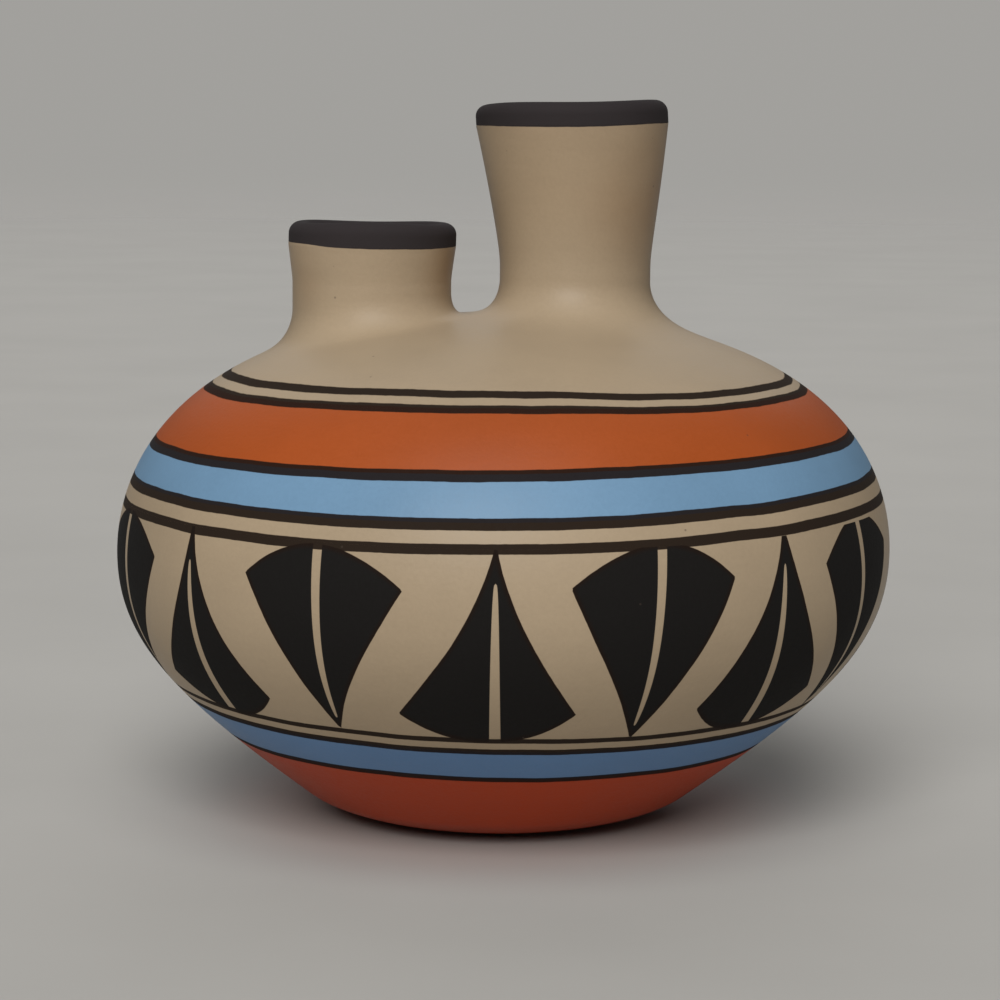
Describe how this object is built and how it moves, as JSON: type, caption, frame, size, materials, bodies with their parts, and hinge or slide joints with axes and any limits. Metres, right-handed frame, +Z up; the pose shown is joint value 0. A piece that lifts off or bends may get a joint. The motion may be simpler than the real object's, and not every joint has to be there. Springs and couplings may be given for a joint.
{
  "type": "double spout vase",
  "caption": "Squat round hand-built earthenware vase with one short and one tall open spout on its domed crown, painted in bands, for flowers or display.",
  "frame": {"origin": "on the surface that the vase stands on, under the centre of its widest circle", "axes": "+Z up, +X from the short spout towards the tall spout, -Y towards the viewer in the picture"},
  "size_m": [0.178, 0.178, 0.1646],
  "materials": {
    "tan_slip": "burnished matte-satin tan slip, painted with black lines and feathers",
    "terracotta_slip": "burnished matte-satin terracotta slip, with blue bands and black lines",
    "black_slip": "matte black slip"
  },
  "bodies": {
    "root": {"foot_disc": "terracotta_slip", "lower_bowl": "terracotta_slip", "belly_ring": "tan_slip", "shoulder_ring": "terracotta_slip", "crown": "tan_slip", "short_neck": "tan_slip", "tall_neck": "tan_slip", "short_lip": "black_slip", "tall_lip": "black_slip"}
  },
  "joints": []
}
